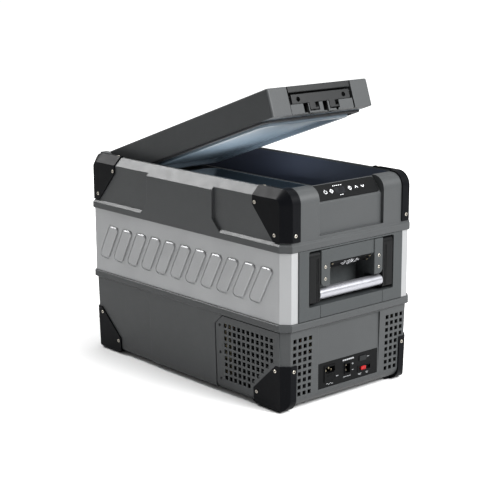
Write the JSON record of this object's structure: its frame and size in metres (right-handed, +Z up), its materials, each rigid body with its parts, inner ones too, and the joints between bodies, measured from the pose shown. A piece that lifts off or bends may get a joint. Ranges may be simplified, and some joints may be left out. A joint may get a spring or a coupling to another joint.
{
  "type": "compressor cooler fridge",
  "caption": "Portable chest fridge with a hinged insulated lid, latch, swing handles at both ends, a stepped tub, a compressor bay with grilles, and a key panel.",
  "frame": {"origin": "on the ground under the centre of the cabinet", "axes": "+Z up; +X towards the end with the latch, key panel and sockets; +Y towards the side away from the side grille in view"},
  "size_m": [0.5932, 0.336, 0.575],
  "materials": {
    "housing_dark_grey": "fine moulded texture",
    "end_panel_grey": "fine moulded texture",
    "silver_sheet": "satin painted sheet",
    "guard_black": "satin moulded black",
    "screw_steel": "zinc plated",
    "handle_black": "satin moulded black",
    "grip_aluminium": "anodised tube",
    "badge_black": "satin black plate",
    "key_panel_black": "satin membrane",
    "display_smoke": "smoked window",
    "key_grey": "printed key",
    "liner_blue_grey": "smooth moulded liner",
    "foam_cream": "rigid foam",
    "evaporator_aluminium": "mill finish",
    "compressor_black": "gloss paint",
    "seal_rubber": "soft black",
    "base_steel": "powder coat",
    "fan_black": "moulded",
    "copper": "bare tube",
    "board_green": "circuit board",
    "socket_black": "moulded",
    "usb_grey": "soft cap",
    "switch_red": "moulded",
    "lens_white": "diffuser",
    "latch_grey": "satin moulded"
  },
  "bodies": {
    "cabinet": {"lower_housing": "housing_dark_grey", "upper_frame": "housing_dark_grey", "side_grilles": "housing_dark_grey", "hinge_brackets": "housing_dark_grey", "front_end_panel": "end_panel_grey", "rear_end_panel": "end_panel_grey", "handle_hoods": "end_panel_grey", "side_panel_left": "silver_sheet", "side_panel_right": "silver_sheet", "top_guard_front_right": "guard_black", "top_guard_front_left": "guard_black", "top_guard_rear_right": "guard_black", "top_guard_rear_left": "guard_black", "bottom_guard_front_right": "guard_black", "bottom_guard_front_left": "guard_black", "bottom_guard_rear_right": "guard_black", "bottom_guard_rear_left": "guard_black", "guard_screws": "screw_steel", "grille_screws": "screw_steel", "hood_screws": "screw_steel", "striker_tabs": "screw_steel", "badge_plates": "badge_black", "key_panel": "key_panel_black", "display_window": "display_smoke", "inner_liner": "liner_blue_grey", "foam_insulation": "foam_cream", "evaporator_plate": "evaporator_aluminium", "condenser": "evaporator_aluminium", "power_module": "evaporator_aluminium", "compressor": "compressor_black", "compressor_grommets": "seal_rubber", "base_pan": "base_steel", "fan_shroud": "fan_black", "refrigerant_lines": "copper", "control_board": "board_green", "socket_plate": "socket_black", "ac_inlet": "socket_black", "dc_inlet": "socket_black", "usb_socket": "usb_grey", "interior_light": "lens_white"},
    "lid": {"lid_shell": "housing_dark_grey", "lid_inner_panel": "liner_blue_grey", "lid_foam": "foam_cream", "lid_gasket": "seal_rubber", "lid_hinge_pins": "screw_steel"},
    "latch_bar": {"latch_bar": "latch_grey"},
    "latch_plate": {"latch_plate": "latch_grey"},
    "front_handle": {"front_handle_arms": "handle_black", "front_handle_grip": "grip_aluminium"},
    "rear_handle": {"rear_handle_arms": "handle_black", "rear_handle_grip": "grip_aluminium"},
    "switch_knob": {"switch_knob": "switch_red"},
    "fuse_drawer": {"fuse_drawer": "socket_black"},
    "usb_cap": {"usb_cap": "usb_grey"},
    "fan_rotor": {"fan_rotor": "fan_black"},
    "power_button": {"power_button": "key_grey"},
    "set_button": {"set_button": "key_grey"},
    "left_key": {"left_key": "key_grey"},
    "up_key": {"up_key": "key_grey"},
    "down_key": {"down_key": "key_grey"}
  },
  "joints": [
    {"name": "lid_hinge", "type": "hinge", "parent": "cabinet", "child": "lid", "pos_m": [-0.276, 0, 0.4055], "axis": [0, -1, 0], "range_deg": [-19.3, 65]},
    {"name": "latch_pull", "type": "hinge", "parent": "lid", "child": "latch_bar", "pos_m": [0.19423, 0, 0.56646], "axis": [0, -1, 0], "range_deg": [-5, 25], "stiffness_Nm_per_rad": 0.6},
    {"name": "latch_hooks", "type": "hinge", "parent": "lid", "child": "latch_plate", "pos_m": [0.20277, 0, 0.55568], "axis": [0, -1, 0], "range_deg": [-5, 25]},
    {"name": "front_handle_swing", "type": "hinge", "parent": "cabinet", "child": "front_handle", "pos_m": [0.2843, 0, 0.282], "axis": [0, -1, 0], "range_deg": [0, 90]},
    {"name": "rear_handle_swing", "type": "hinge", "parent": "cabinet", "child": "rear_handle", "pos_m": [-0.2843, 0, 0.282], "axis": [0, 1, 0], "range_deg": [0, 90]},
    {"name": "power_button_press", "type": "slide", "parent": "cabinet", "child": "power_button", "axis": [-0.766, 0, -0.6428], "range_m": [0, 0.0005], "stiffness_N_per_m": 400},
    {"name": "set_button_press", "type": "slide", "parent": "cabinet", "child": "set_button", "axis": [-0.766, 0, -0.6428], "range_m": [0, 0.0005], "stiffness_N_per_m": 400},
    {"name": "left_key_press", "type": "slide", "parent": "cabinet", "child": "left_key", "axis": [-0.766, 0, -0.6428], "range_m": [0, 0.0005], "stiffness_N_per_m": 400},
    {"name": "up_key_press", "type": "slide", "parent": "cabinet", "child": "up_key", "axis": [-0.766, 0, -0.6428], "range_m": [0, 0.0005], "stiffness_N_per_m": 400},
    {"name": "down_key_press", "type": "slide", "parent": "cabinet", "child": "down_key", "axis": [-0.766, 0, -0.6428], "range_m": [0, 0.0005], "stiffness_N_per_m": 400},
    {"name": "switch_slide", "type": "slide", "parent": "cabinet", "child": "switch_knob", "axis": [0, 1, 0], "range_m": [-0.006, 0.011]},
    {"name": "fuse_drawer_slide", "type": "slide", "parent": "cabinet", "child": "fuse_drawer", "axis": [1, 0, 0], "range_m": [0, 0.014]},
    {"name": "usb_cap_hinge", "type": "hinge", "parent": "cabinet", "child": "usb_cap", "pos_m": [0.2881, 0.0485, 0.0665], "axis": [0, 0, 1], "range_deg": [0, 115]},
    {"name": "fan_spin", "type": "hinge", "parent": "cabinet", "child": "fan_rotor", "pos_m": [0.19, -0.11, 0.0865], "axis": [0, 1, 0], "continuous": true}
  ],
  "couplings": [
    {"joint": "latch_hooks", "follows": "latch_pull", "ratio": 1}
  ]
}
